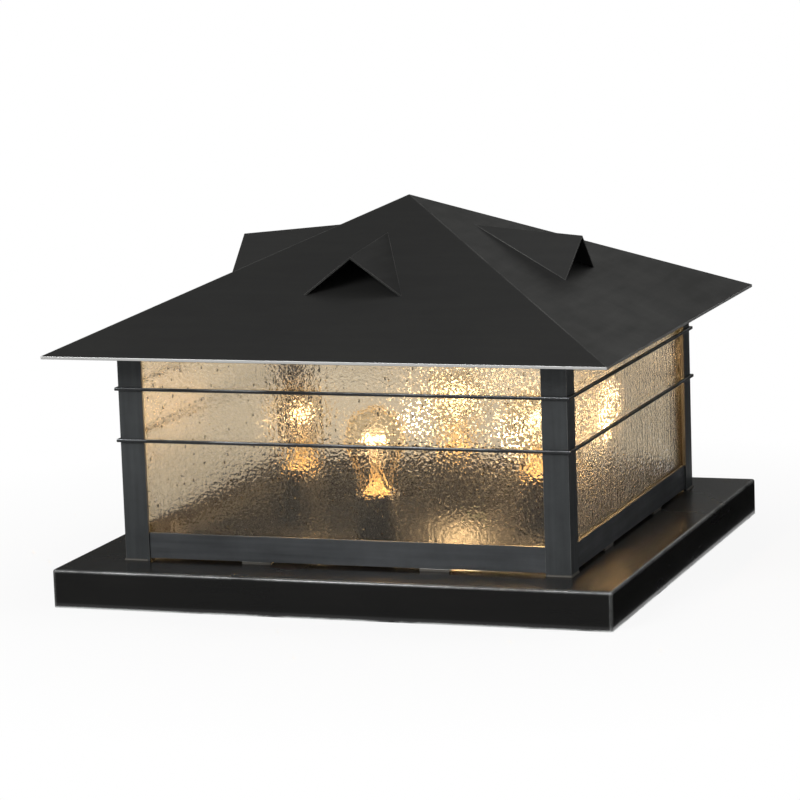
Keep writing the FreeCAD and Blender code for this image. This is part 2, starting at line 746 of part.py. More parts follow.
def make_lamp_glass(side, turn):
    """Blown bulb with an even wall, open at the bottom where the cap closes it."""
    wall = number("bulb_sheet")
    outside = bulb_outline(0)
    inside = bulb_outline(wall)
    top = Part.LineSegment(outside[-1].Vertexes[-1].Point, inside[-1].Vertexes[-1].Point).toShape()
    rim = Part.LineSegment(inside[0].Vertexes[0].Point, outside[0].Vertexes[0].Point).toShape()
    profile = Part.Face(Part.Wire(Part.__sortEdges__(outside + [top] + inside + [rim])))
    made = doc.addObject("Part::Feature", f"lamp_glass_{side}")
    made.Shape = profile.revolve(V(), UP, 360)
    place_lamp_piece(made, turn)
    name_node(made, f"lamp_glass_{side}")


def make_lamp_cap(side, turn):
    """Screw cap with its insulated taper and the contact at its tip."""
    body = new_body(f"lamp_cap_{side}")
    wide = "cap_width / 2"
    tip = "cap_tip / 2"
    profile = [
        ("0", "lamp_foot"),
        (tip, "lamp_foot"),
        (tip, "lamp_foot + cap_button"),
        (wide, "lamp_foot + cap_taper"),
        (wide, "cap_top"),
        ("0", "cap_top"),
    ]
    turn_profile(body, profile)
    place_lamp_piece(body, turn)


def make_lamp_stem(side, turn):
    """Glass stem on the cap with two supports and the filament between them."""
    body = new_body(f"lamp_stem_{side}")
    foot = "stem_width / 2"
    tip = "stem_width / 4"
    stem_top = "cap_top + stem_height"
    turn_profile(body, [("0", "cap_top"), (foot, "cap_top"), (tip, stem_top), ("0", stem_top)])
    wire = "filament_wire"
    level = "cap_top + filament_height"
    spread = "filament_width / 2"
    start = f"{stem_top} - {wire}"
    frame_outer = [
        (f"-{spread}", level),
        (f"-{tip}", start),
        (tip, start),
        (spread, level),
        (spread, f"{level} + {wire}"),
        (f"-{spread}", f"{level} + {wire}"),
    ]
    # The supports lean, so their inner corners are drawn in by two wires for one of metal.
    frame_inner = [
        (f"-{spread} + 2 * {wire}", level),
        (f"-{tip} + {wire}", f"{start} + 2 * {wire}"),
        (f"{tip} - {wire}", f"{start} + 2 * {wire}"),
        (f"{spread} - 2 * {wire}", level),
    ]
    pad(body, [frame_outer, frame_inner], wire, role="XZ_Plane", both_ways=True)
    place_lamp_piece(body, turn)


# ---------------------------------------------------------------- build

make_deck_plate()
for corner, turn in CORNERS.items():
    make_corner_post(corner, turn)
for side, turn in SIDES.items():
    make_bottom_rail(side, turn)
    make_top_rail(side, turn)
    make_pane(side, turn)
make_rail_pads()
make_trim_ring("trim_ring_lower", "lower_ring")
make_trim_ring("trim_ring_upper", "upper_ring")
make_strips_and_blocks()
make_clips()
for side, turn in SIDES.items():
    make_roof_panel(side, turn)
    make_dormer(side, turn)
    make_roof_screw(side, turn)
make_roof_lugs()
for side, turn in SIDES.items():
    make_socket(side, turn)
    make_lamp_glass(side, turn)
    make_lamp_cap(side, turn)
    make_lamp_stem(side, turn)
make_socket_shells()
make_nipples_and_nuts()
make_terminal_block()
make_leads()
make_ground_screw()
doc.recompute()

for made in doc.Objects:
    if "Invalid" in made.State or "Error" in made.State:
        raise RuntimeError(f"{made.Label} failed: {made.State}")
os.makedirs("parts", exist_ok=True)
nodes = [doc.getObject(name) for name in node_names]
for node in nodes:
    if node.Shape.isNull() or not node.Shape.isValid() or not node.Shape.Solids:
        raise RuntimeError(f"{node.Label} has no sound solid")
for node in nodes:
    node.Shape.exportStep(f"parts/{node.Label}.step")
print(f"{len(nodes)} parts written")
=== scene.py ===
import math
import random

import bmesh
import bpy
from mathutils import Matrix, Vector, noise


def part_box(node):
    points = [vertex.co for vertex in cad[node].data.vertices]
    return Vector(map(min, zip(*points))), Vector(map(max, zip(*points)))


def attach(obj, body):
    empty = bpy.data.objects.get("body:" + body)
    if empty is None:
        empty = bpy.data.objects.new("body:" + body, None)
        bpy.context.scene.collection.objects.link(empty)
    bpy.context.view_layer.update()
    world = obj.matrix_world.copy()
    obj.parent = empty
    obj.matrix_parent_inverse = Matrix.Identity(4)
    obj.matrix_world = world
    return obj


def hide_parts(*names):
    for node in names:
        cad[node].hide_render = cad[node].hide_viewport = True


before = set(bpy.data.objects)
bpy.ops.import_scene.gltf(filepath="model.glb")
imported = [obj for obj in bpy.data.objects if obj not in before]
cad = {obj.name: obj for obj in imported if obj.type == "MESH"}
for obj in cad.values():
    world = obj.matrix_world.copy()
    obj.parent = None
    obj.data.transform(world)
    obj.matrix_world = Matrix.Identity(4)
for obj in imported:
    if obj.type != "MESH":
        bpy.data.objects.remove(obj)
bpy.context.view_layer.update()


# ------------------------------------------------------------------ deck plate
# One sheet of 12 gauge steel folded down on four sides, its corners welded and dressed.
# It is blackened and waxed all over, and rubbed back to grey steel along its bends, where a wide, bright band
# of steel colour also paints the highlight line the bends catch.

SIDES = {"front": 0, "right": 90, "back": 180, "left": 270}
LEVEL = (9, 1, 160)
UPRIGHT = (160, 1, 9)


def place_node(tree, kind, inputs=None, **settings):
    """A shader node with its settings, and its inputs linked or set."""
    made = tree.nodes.new("ShaderNode" + kind)
    for name, value in settings.items():
        setattr(made, name, value)
    for key, value in (inputs or {}).items():
        if isinstance(value, bpy.types.NodeSocket):
            tree.links.new(value, made.inputs[key])
        else:
            made.inputs[key].default_value = value
    return made


def start_group(name, inputs, outputs):
    """An empty node group; inputs hold (name, kind, value) and outputs (name, kind)."""
    tree = bpy.data.node_groups.new(name, "ShaderNodeTree")
    for label, kind, value in inputs:
        socket = tree.interface.new_socket(name=label, in_out="INPUT", socket_type="NodeSocket" + kind)
        socket.default_value = value
    for label, kind in outputs:
        tree.interface.new_socket(name=label, in_out="OUTPUT", socket_type="NodeSocket" + kind)
    return tree, tree.nodes.new("NodeGroupInput").outputs, tree.nodes.new("NodeGroupOutput").inputs


def make_patina_group():
    """Blackened steel: cloudy blacking, faint rolling streaks, and steel showing at the edges, partly wear
    and partly a painted highlight along them.
    """
    tree, given, gives = start_group(
        "blackened steel",
        [
            ("Black", "Color", (0.02, 0.02, 0.02, 1)),
            ("Cloud", "Color", (0.05, 0.05, 0.05, 1)),
            ("Bare And Highlight", "Color", (0.4, 0.4, 0.38, 1)),
            ("Rubbing And Highlight", "Float", 1.0),
            ("Wear And Highlight Width", "Float", 0.0012),
            ("Low Roughness", "Float", 0.36),
            ("High Roughness", "Float", 0.55),
            ("Bare Roughness", "Float", 0.3),
            ("Upper Only Painted Highlight", "Float", 0.0),
            ("Streak", "Vector", LEVEL),
        ],
        [("Color", "Color"), ("Roughness", "Float"), ("Metallic", "Float"), ("Height", "Float")],
    )
    here = place_node(tree, "TexCoord").outputs["Object"]
    split = place_node(tree, "SeparateXYZ", {"Vector": here}).outputs
    along = place_node(tree, "Math", {0: split["X"], 1: split["Y"]}, operation="ADD").outputs[0]
    streak_place = place_node(tree, "CombineXYZ", {"X": along, "Z": split["Z"]}).outputs[0]
    streak_scale = place_node(tree, "VectorMath", {0: streak_place, 1: given["Streak"]}, operation="MULTIPLY")
    streak = place_node(tree, "TexNoise", {"Vector": streak_scale.outputs[0], "Scale": 1.0, "Detail": 3.0})
    cloud = place_node(tree, "TexNoise", {"Vector": here, "Scale": 11.0, "Detail": 5.0, "Roughness": 0.62})
    broad = place_node(tree, "TexNoise", {"Vector": here, "Scale": 3.2, "Detail": 2.0})
    grain = place_node(tree, "TexNoise", {"Vector": here, "Scale": 420.0, "Detail": 2.0})
    mixed = place_node(tree, "Math", {0: cloud.outputs["Fac"], 1: broad.outputs["Fac"]}, operation="MULTIPLY")
    streaked = place_node(
        tree, "Math", {0: streak.outputs["Fac"], 1: 0.35, 2: mixed.outputs[0]}, operation="MULTIPLY_ADD"
    )
    clouding = place_node(
        tree, "MapRange", {"Value": streaked.outputs[0], "From Min": 0.3, "From Max": 0.62}
    ).outputs["Result"]
    body = place_node(
        tree, "Mix", {"Factor": clouding, "A": given["Black"], "B": given["Cloud"]}, data_type="RGBA"
    )
    round_edge = place_node(tree, "Bevel", {"Radius": given["Wear And Highlight Width"]}, samples=6)
    flat_normal = place_node(tree, "NewGeometry").outputs["Normal"]
    agree = place_node(
        tree, "VectorMath", {0: round_edge.outputs[0], 1: flat_normal}, operation="DOT_PRODUCT"
    ).outputs["Value"]
    turned = place_node(
        tree, "MapRange", {"Value": agree, "From Min": 0.995, "From Max": 0.86}
    ).outputs["Result"]
    broken = place_node(
        tree, "MapRange", {"Value": cloud.outputs["Fac"], "From Min": 0.36, "From Max": 0.58}
    ).outputs["Result"]
    # Painted highlight: with Upper Only set, only edges whose rounded normal points upwards turn to steel
    # colour, as if lit from above.
    edge_up = place_node(tree, "SeparateXYZ", {"Vector": round_edge.outputs[0]}).outputs["Z"]
    painted_upper_light = place_node(
        tree, "MapRange", {"Value": edge_up, "From Min": -0.05, "From Max": 0.3}
    ).outputs["Result"]
    where = place_node(
        tree, "Mix", {"Factor": given["Upper Only Painted Highlight"], "A": 1.0, "B": painted_upper_light}, data_type="FLOAT"
    ).outputs["Result"]
    # Edge mask: steel colour where edges turn, partly wear and partly a painted highlight along the edges.
    worn_and_highlit = place_node(tree, "Math", {0: turned, 1: where}, operation="MULTIPLY").outputs[0]
    rubbed_and_highlit = place_node(tree, "Math", {0: worn_and_highlit, 1: broken}, operation="MULTIPLY").outputs[0]
    bare_and_highlight = place_node(tree, "Math", {0: rubbed_and_highlit, 1: given["Rubbing And Highlight"]}, operation="MULTIPLY", use_clamp=True)
    finish = place_node(
        tree, "Mix",
        {"Factor": bare_and_highlight.outputs[0], "A": body.outputs["Result"], "B": given["Bare And Highlight"]}, data_type="RGBA",
    )
    rough = place_node(
        tree, "Mix",
        {"Factor": clouding, "A": given["High Roughness"], "B": given["Low Roughness"]}, data_type="FLOAT",
    )
    gloss = place_node(
        tree, "Mix",
        {"Factor": bare_and_highlight.outputs[0], "A": rough.outputs["Result"], "B": given["Bare Roughness"]},
        data_type="FLOAT",
    )
    height = place_node(
        tree, "Math", {0: grain.outputs["Fac"], 1: 0.25, 2: streaked.outputs[0]}, operation="MULTIPLY_ADD"
    )
    tree.links.new(finish.outputs["Result"], gives["Color"])
    tree.links.new(gloss.outputs["Result"], gives["Roughness"])
    tree.links.new(bare_and_highlight.outputs[0], gives["Metallic"])
    tree.links.new(height.outputs[0], gives["Height"])
    return tree


patina = make_patina_group()


def new_material(name):
    """An empty node material with its output, ready for a shader."""
    material = bpy.data.materials.new(name)
    material.use_nodes = True
    material.node_tree.nodes.clear()
    return material, material.node_tree


def finish_material(tree, shader):
    """Join a shader to the material's output."""
    output = place_node(tree, "OutputMaterial")
    tree.links.new(shader.outputs[0], output.inputs["Surface"])


def make_steel(
    name, black, cloud, rubbing_and_highlight=1.0, width=0.0012, low=0.36, high=0.55, specular=0.3, relief=0.12,
    streak=LEVEL, bare_and_highlight=(0.4, 0.4, 0.38), upper_only_painted_highlight=0.0, cut_edge_and_highlight=None,
):
    """Blackened steel; rubbing wears its edges to steel colour, partly wear and partly a painted highlight,
    and cut_edge_and_highlight colours its upright cut edges as bright steel, a painted highlight.
    """
    material, tree = new_material(name)
    steel = place_node(tree, "Group", node_tree=patina)
    steel.inputs["Black"].default_value = (*black, 1)
    steel.inputs["Cloud"].default_value = (*cloud, 1)
    steel.inputs["Rubbing And Highlight"].default_value = rubbing_and_highlight
    steel.inputs["Wear And Highlight Width"].default_value = width
    steel.inputs["Low Roughness"].default_value = low
    steel.inputs["High Roughness"].default_value = high
    steel.inputs["Streak"].default_value = streak
    steel.inputs["Bare And Highlight"].default_value = (*bare_and_highlight, 1)
    steel.inputs["Upper Only Painted Highlight"].default_value = upper_only_painted_highlight
    colour = steel.outputs["Color"]
    metallic = steel.outputs["Metallic"]
    roughness = steel.outputs["Roughness"]
    # Painted highlight: the upright cut edges take a bright steel colour, so the eave shows a light line.
    if cut_edge_and_highlight:
        steepest = 0.35
        cut_roughness = 0.34
        facing = place_node(tree, "NewGeometry").outputs["Normal"]
        lean = place_node(tree, "SeparateXYZ", {"Vector": facing}).outputs["Z"]
        steep = place_node(tree, "Math", {0: lean}, operation="ABSOLUTE").outputs[0]
        on_edge = place_node(tree, "Math", {0: steep, 1: steepest}, operation="LESS_THAN").outputs[0]
        colour = place_node(
            tree, "Mix", {"Factor": on_edge, "A": colour, "B": (*cut_edge_and_highlight, 1)}, data_type="RGBA"
        ).outputs["Result"]
        metallic = place_node(tree, "Math", {0: metallic, 1: on_edge}, operation="MAXIMUM").outputs[0]
        roughness = place_node(
            tree, "Mix", {"Factor": on_edge, "A": roughness, "B": cut_roughness}, data_type="FLOAT"
        ).outputs["Result"]
    bump = place_node(
        tree, "Bump", {"Strength": relief, "Distance": 0.0006, "Height": steel.outputs["Height"]}
    )
    shader = place_node(
        tree, "BsdfPrincipled",
        {
            "Base Color": colour,
            "Roughness": roughness,
            "Metallic": metallic,
            "Normal": bump.outputs[0],
            "Specular IOR Level": specular,
        },
    )
    finish_material(tree, shader)
    return material


def dress(name, material, edge=0.0):
    """Finish a CAD piece: its material, and its sharp edges broken by a small round."""
    piece = cad[name]
    piece.data.materials.clear()
    piece.data.materials.append(material)
    if edge:
        weld = piece.modifiers.new("Weld", "WELD")
        weld.merge_threshold = 0.00001
        bevel = piece.modifiers.new("Bevel", "BEVEL")
        bevel.width = edge
        bevel.segments = 3
        bevel.limit_method = "ANGLE"
        bevel.angle_limit = math.radians(30)
        bevel.harden_normals = True
    return piece


deck_steel = make_steel(
    "deck_steel", (0.0025, 0.0025, 0.0024), (0.0095, 0.0092, 0.0088), rubbing_and_highlight=2.0, width=0.0036,
    low=0.2, high=0.29, specular=0.36, relief=0.02, bare_and_highlight=(0.78, 0.8, 0.79),
)
dress("deck_plate", deck_steel, 0.0004)


# ------------------------------------------------------------------ corner posts and rails
# Corner posts of hot-rolled angle stand on the plate, with rails of lighter angle between
# them. The mill scale keeps a cold blue-grey cast, and the corners are worn a little.

CORNERS = ("front_left", "front_right", "back_right", "back_left")

post_steel = make_steel(
    "post_steel", (0.022, 0.0245, 0.0255), (0.054, 0.059, 0.0615), rubbing_and_highlight=0.5, width=0.0009,
    low=0.34, high=0.5, streak=UPRIGHT,
)
rail_steel = make_steel(
    "rail_steel", (0.026, 0.0285, 0.0305), (0.072, 0.077, 0.082), rubbing_and_highlight=0.4, width=0.0008,
    low=0.34, high=0.5,
)
for corner in CORNERS:
    dress(f"corner_post_{corner}", post_steel, 0.0005)
for side in SIDES:
    dress(f"bottom_rail_{side}", rail_steel, 0.0005)
    dress(f"top_rail_{side}", rail_steel, 0.0005)


# ------------------------------------------------------------------ weld pads and beads
# Each bottom rail is held off the plate by two short weld pads, and each post by a bead
# round its foot. The welds are left as laid, so they are paler and rippled.

weld_steel = make_steel(
    "weld_steel", (0.05, 0.047, 0.04), (0.12, 0.11, 0.095), rubbing_and_highlight=1.0, width=0.0006,
    low=0.4, high=0.6, relief=0.5,
)
dress("rail_pads", weld_steel, 0.0004)


def bind_mesh(name, verts, faces, material, body):
    """A finished mesh piece that rides on a body and takes its finish from a slot."""
    mesh = bpy.data.meshes.new(name)
    mesh.from_pydata([tuple(vert) for vert in verts], [], faces)
    mesh.update()
    mesh.polygons.foreach_set("use_smooth", [True] * len(mesh.polygons))
    mesh.materials.append(material)
    piece = bpy.data.objects.new(name, mesh)
    bpy.context.scene.collection.objects.link(piece)
    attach(piece, body)
    return piece


def face_side(turn):
    """The turn about the upright axis from the front to another side, in degrees."""
    return Matrix.Rotation(math.radians(turn), 4, "Z")


def tube_along(points, radii, around=10):
    """Vertices and faces of a closed tube through points, with a radius at each."""
    verts, faces = [], []
    side_way = None
    for index, point in enumerate(points):
        before = points[max(index - 1, 0)]
        after = points[min(index + 1, len(points) - 1)]
        forward = (after - before).normalized()
        guess = side_way or (Vector((0, 0, 1)) if abs(forward.z) < 0.9 else Vector((1, 0, 0)))
        side_way = (guess - forward * guess.dot(forward)).normalized()
        other_way = forward.cross(side_way)
        for step in range(around):
            turn = math.tau * step / around
            offset = side_way * math.cos(turn) + other_way * math.sin(turn)
            verts.append(point + offset * radii[index])
    for index in range(len(points) - 1):
        for step in range(around):
            low = index * around + step
            low_next = index * around + (step + 1) % around
            faces.append((low, low_next, low_next + around, low + around))
    faces.append(tuple(range(around))[::-1])
    faces.append(tuple(range((len(points) - 1) * around, len(points) * around)))
    return verts, faces


def lay_bead(path, size, step=0.0004, ripple=0.0011):
    """A rippled weld bead along straight runs between the path's corners."""
    points = []
    for start, end in zip(path, path[1:]):
        count = max(2, int((end - start).length / step))
        points += [start.lerp(end, index / count) for index in range(count)]
    points.append(path[-1])
    radii = []
    for index, point in enumerate(points):
        wave = abs(math.sin(math.pi * index * step / ripple))
        rough = noise.noise(point * 300)
        end_taper = min(1, (min(index, len(points) - 1 - index) + 1) * step / size)
        radii.append(size * end_taper * (0.86 + 0.14 * wave + 0.12 * rough))
    return tube_along(points, radii)


deck_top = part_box("deck_plate")[1].z
post_low, post_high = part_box("corner_post_front_left")
bead_size = 0.0016
bead_level = deck_top + 0.0002
bead_end_gap = 0.001
heel = Vector((post_low.x, post_low.y, bead_level))
along_front = Vector((post_high.x - bead_end_gap, post_low.y, bead_level))
along_side = Vector((post_low.x, post_high.y - bead_end_gap, bead_level))
bead_verts, bead_faces = lay_bead([along_side, heel, along_front], bead_size)
for corner, turn in zip(CORNERS, SIDES.values()):
    bind_mesh(
        f"foot_weld_{corner}", [face_side(turn) @ vert for vert in bead_verts], bead_faces,
        weld_steel, "frame",
    )


# ------------------------------------------------------------------ panes
# Seedy glass, drawn with a soft ripple and full of small stretched bubbles, faintly amber.
# Each pane stands on the shelf of its bottom rail, close behind the rails and posts.

def make_glass(
    name, tint, roughness, ripple_scale, ripple_depth, shadow_tint,
    drawn=0.0, speck=0.0, painted_glare=None, rim=0.72,
):
    """Clear glass with straight shadows.

    drawn adds streaks and speck rough spots; glare is a painted glow on glass that gives no light, starting
    at rim and growing to the outline.
    """
    material, tree = new_material(name)
    here = place_node(tree, "TexCoord").outputs["Object"]
    fine = place_node(
        tree, "TexNoise", {"Vector": here, "Scale": ripple_scale, "Detail": 1.0, "Roughness": 0.5}
    )
    pulled = place_node(tree, "VectorMath", {0: here, 1: (150, 150, 11)}, operation="MULTIPLY").outputs[0]
    streaks = place_node(tree, "TexNoise", {"Vector": pulled, "Scale": 1.0, "Detail": 1.0})
    specks = place_node(tree, "TexNoise", {"Vector": here, "Scale": 380.0, "Detail": 0.0})
    rough = place_node(
        tree, "MapRange",
        {
            "Value": specks.outputs["Fac"],
            "From Min": 0.58,
            "From Max": 0.68,
            "To Min": roughness,
            "To Max": speck,
        },
    )
    surface = place_node(
        tree, "Math", {0: streaks.outputs["Fac"], 1: drawn, 2: fine.outputs["Fac"]}, operation="MULTIPLY_ADD"
    )
    bump = place_node(
        tree, "Bump", {"Strength": 1.0, "Distance": ripple_depth, "Height": surface.outputs[0]}
    )
    shader = place_node(
        tree, "BsdfPrincipled",
        {
            "Base Color": (*tint, 1),
            "Roughness": rough.outputs["Result"],
            "IOR": 1.5,
            "Transmission Weight": 1.0,
            "Normal": bump.outputs[0],
        },
    )
    # Painted glow: a warm emission on glass that gives no light of its own, standing in for the lamp's glare.
    if painted_glare:
        outline = place_node(tree, "LayerWeight", {"Blend": 0.5}).outputs["Facing"]
        lit = place_node(
            tree, "MapRange", {"Value": outline, "From Min": rim, "From Max": 1.0}
        ).outputs["Result"]
        warm = place_node(
            tree, "Mix", {"Factor": lit, "A": (0, 0, 0, 1), "B": (*painted_glare, 1)}, data_type="RGBA"
        )
        tree.links.new(warm.outputs["Result"], shader.inputs["Emission Color"])
        shader.inputs["Emission Strength"].default_value = 1.0
    clear = place_node(tree, "BsdfTransparent", {"Color": (*shadow_tint, 1)})
    path = place_node(tree, "LightPath").outputs
    passing = place_node(
        tree, "Math", {0: path["Is Shadow Ray"], 1: path["Is Diffuse Ray"]}, operation="MAXIMUM"
    )
    mixed = place_node(
        tree, "MixShader", {0: passing.outputs[0], 1: shader.outputs[0], 2: clear.outputs[0]}
    )
    finish_material(tree, mixed)
    return material


seedy_glass = make_glass(
    "seedy_glass", (0.765, 0.695, 0.575), 0.003, 300.0, 0.00032, (0.38, 0.34, 0.27), drawn=0.8, speck=0.2
)


def add_seed(verts, faces, centre, width, height, rings=4, around=7):
    """A small bubble in the glass, stretched upwards; its faces look inwards."""
    first = len(verts)
    verts.append(centre + Vector((0, 0, -height)))
    for ring in range(1, rings):
        level = math.pi * ring / rings
        for step in range(around):
            turn = math.tau * step / around
            offset = Vector((math.cos(turn) * width, math.sin(turn) * width, 0)) * math.sin(level)
            verts.append(centre + offset + Vector((0, 0, -height * math.cos(level))))
    verts.append(centre + Vector((0, 0, height)))
    top = len(verts) - 1
    for step in range(around):
        following = (step + 1) % around
        faces.append((first, first + 1 + step, first + 1 + following))
        for ring in range(rings - 2):
            low = first + 1 + ring * around
            faces.append((low + step, low + around + step, low + around + following, low + following))
        last = top - around
        faces.append((last + step, top, last + following))


def make_pane(side, turn, seed_count=480):
    """A rippled pane, its edges closed, with bubbles scattered in its thickness."""
    low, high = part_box("glass_pane_front")
    spacing = 0.0032
    swell_depth = 0.00006
    across = int((high.x - low.x) / spacing)
    upward = int((high.z - low.z) / spacing)
    pane_shift = Vector((0, 0, 3.7 * turn))
    verts, faces = [], []
    for face_y, sign in ((low.y, 1), (high.y, -1)):
        for row in range(upward + 1):
            for column in range(across + 1):
                x = low.x + (high.x - low.x) * column / across
                z = low.z + (high.z - low.z) * row / upward
                spot = Vector((x * 26, face_y * 900, z * 60)) + pane_shift
                swell = 0.5 + 0.5 * noise.noise(spot) + 0.25 * noise.noise(spot * 2.7)
                verts.append(Vector((x, face_y + sign * swell_depth * max(swell, 0), z)))
    row_length = across + 1
    face_count = row_length * (upward + 1)
    for row in range(upward):
        for column in range(across):
            a = row * row_length + column
            b = a + face_count
            faces.append((a, a + 1, a + 1 + row_length, a + row_length))
            faces.append((b, b + row_length, b + row_length + 1, b + 1))
    for row in range(upward):
        for column, flip in ((0, False), (across, True)):
            a = row * row_length + column
            ring = (a, a + row_length, a + row_length + face_count, a + face_count)
            faces.append(ring[::-1] if flip else ring)
    for column in range(across):
        for row, flip in ((0, True), (upward, False)):
            a = row * row_length + column
            ring = (a, a + 1, a + 1 + face_count, a + face_count)
            faces.append(ring[::-1] if flip else ring)
    dice = random.Random(turn + 5)
    rim_gap = 0.004
    face_gap = 0.0011
    for _ in range(seed_count):
        width = dice.uniform(0.00028, 0.00095)
        height = min(width * dice.uniform(1.0, 2.4), 0.0018)
        centre = Vector((
            dice.uniform(low.x + rim_gap, high.x - rim_gap),
            dice.uniform(low.y + face_gap, high.y - face_gap),
            dice.uniform(low.z + rim_gap, high.z - rim_gap),
        ))
        add_seed(verts, faces, centre, width, height)
    piece = bind_mesh(
        f"seedy_pane_{side}", [face_side(turn) @ vert for vert in verts], faces,
        seedy_glass, "frame",
    )
    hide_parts(f"glass_pane_{side}")


for side, turn in SIDES.items():
    make_pane(side, turn)


# ------------------------------------------------------------------ glazing clips and blocks
# Zinc-plated clips hold the panes from inside, screwed to the top rails and welded to the
# shelves of the bottom ones. Rubber blocks carry each pane, and rubber strips bed its edges.

def make_plain(name, colour, roughness, metallic=0.0, spots=60.0, relief=0.15):
    """A plain finish whose colour and gloss wander a little over the surface."""
    variation = 0.25
    material, tree = new_material(name)
    here = place_node(tree, "TexCoord").outputs["Object"]
    wander = place_node(tree, "TexNoise", {"Vector": here, "Scale": spots, "Detail": 3.0})
    tint = place_node(
        tree, "Mix",
        {
            "Factor": wander.outputs["Fac"],
            "A": (*(channel * (1 - variation) for channel in colour), 1),
            "B": (*(min(channel * (1 + variation), 1) for channel in colour), 1),
        },
        data_type="RGBA",
    )
    gloss = place_node(
        tree, "MapRange",
        {"Value": wander.outputs["Fac"], "To Min": roughness * 0.8, "To Max": roughness * 1.2},
    )
    grain = place_node(tree, "TexNoise", {"Vector": here, "Scale": spots * 12, "Detail": 2.0})
    bump = place_node(
        tree, "Bump", {"Strength": relief, "Distance": 0.0002, "Height": grain.outputs["Fac"]}
    )
    shader = place_node(
        tree, "BsdfPrincipled",
        {
            "Base Color": tint.outputs["Result"],
            "Roughness": gloss.outputs["Result"],
            "Metallic": metallic,
            "Normal": bump.outputs[0],
        },
    )
    finish_material(tree, shader)
    return material


zinc = make_plain("zinc_plate", (0.17, 0.165, 0.155), 0.5, metallic=1.0)
rubber = make_plain("setting_rubber", (0.02, 0.02, 0.02), 0.8)
dress("glass_clips", zinc, 0.0002)
dress("clip_screws", zinc, 0.0003)
dress("setting_blocks", rubber, 0.0003)
dress("glazing_strips", rubber, 0.0002)


# ------------------------------------------------------------------ trim rings
# Two hoops of 1/8 in square bar bent round the posts, with their ends welded. The upper
# arris of each is painted bright grey steel, a painted highlight of the light from above.

bar_steel = make_steel(
    "bar_steel", (0.01, 0.011, 0.012), (0.03, 0.032, 0.034), rubbing_and_highlight=2.2, width=0.0016,
    low=0.3, high=0.42, bare_and_highlight=(0.62, 0.65, 0.68), upper_only_painted_highlight=1.0,
)
dress("trim_ring_lower", bar_steel, 0.0007)
dress("trim_ring_upper", bar_steel, 0.0007)


# ------------------------------------------------------------------ roof and dormers
# Four triangular sheets welded along the hips, with a small folded dormer on each. The
# blacking is flat and even, and the cut edge of the eave is bright steel colour, a painted highlight line
# along it.

roof_steel = make_steel(
    "roof_steel", (0.012, 0.012, 0.0115), (0.02, 0.02, 0.019), rubbing_and_highlight=0.3, width=0.0016,
    low=0.45, high=0.58, relief=0.06, specular=0.25, cut_edge_and_highlight=(0.6, 0.6, 0.59),
)
dormer_steel = make_steel(
    "dormer_steel", (0.011, 0.011, 0.0105), (0.019, 0.019, 0.018), rubbing_and_highlight=0.5, width=0.001,
    low=0.45, high=0.6, relief=0.06, specular=0.25,
)
for side in SIDES:
    dress(f"roof_panel_{side}", roof_steel, 0.0004)
    dress(f"dormer_{side}", dormer_steel, 0.0003)
dress("roof_lugs", roof_steel, 0.0004)


# ------------------------------------------------------------------ roof screws
# Four knurled screws hold the roof's lugs from outside, under the eave. Each is turned
# from steel, with a straight knurl round its head, and blackened.

def sweep_round(profile, around, bulge=None):
    """Turn (radius, height) pairs about Z; bulge(turn, height, radius) may alter the radius."""
    verts, faces = [], []
    for radius, height in profile:
        for step in range(around):
            turn = math.tau * step / around
            wide = bulge(turn, height, radius) if bulge else radius
            verts.append(Vector((wide * math.cos(turn), wide * math.sin(turn), height)))
    for ring in range(len(profile) - 1):
        for step in range(around):
            low = ring * around + step
            low_next = ring * around + (step + 1) % around
            faces.append((low, low_next, low_next + around, low + around))
    return verts, faces


def cap_ends(verts, faces, around, count):
    """Close the first and last rings of a swept shape."""
    faces.append(tuple(range(around))[::-1])
    faces.append(tuple(range((count - 1) * around, count * around)))


def smooth_by_angle(piece, degrees):
    """Keep the corners sharper than the angle crisp, and the rest smooth."""
    mesh = piece.data
    shape = bmesh.new()
    shape.from_mesh(mesh)
    for edge in shape.edges:
        edge.smooth = len(edge.link_faces) == 2 and edge.calc_face_angle() < math.radians(degrees)
    shape.to_mesh(mesh)
    shape.free()


screw_steel = make_steel("screw_steel", (0.02, 0.02, 0.02), (0.05, 0.05, 0.048), rubbing_and_highlight=1.5, width=0.0004)
screw_low, screw_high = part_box("roof_screw_front")
screw_radius = 0.0025
head_radius = (screw_high.x - screw_low.x) / 2
head_length = 0.006
screw_length = screw_high.y - screw_low.y
pitch = 0.0008
thread_depth = 0.00022
knurl_depth = 0.00028
knurls = 30
screw_facets = 120


def screw_surface(turn, height, radius):
    """Knurl round the head, thread along the shank."""
    if radius > screw_radius * 1.4:
        return radius - knurl_depth * (0.5 + 0.5 * math.cos(turn * knurls))
    if height < screw_length - head_length - 0.001:
        return radius - thread_depth * (0.5 + 0.5 * math.cos(math.tau * height / pitch - turn))
    return radius


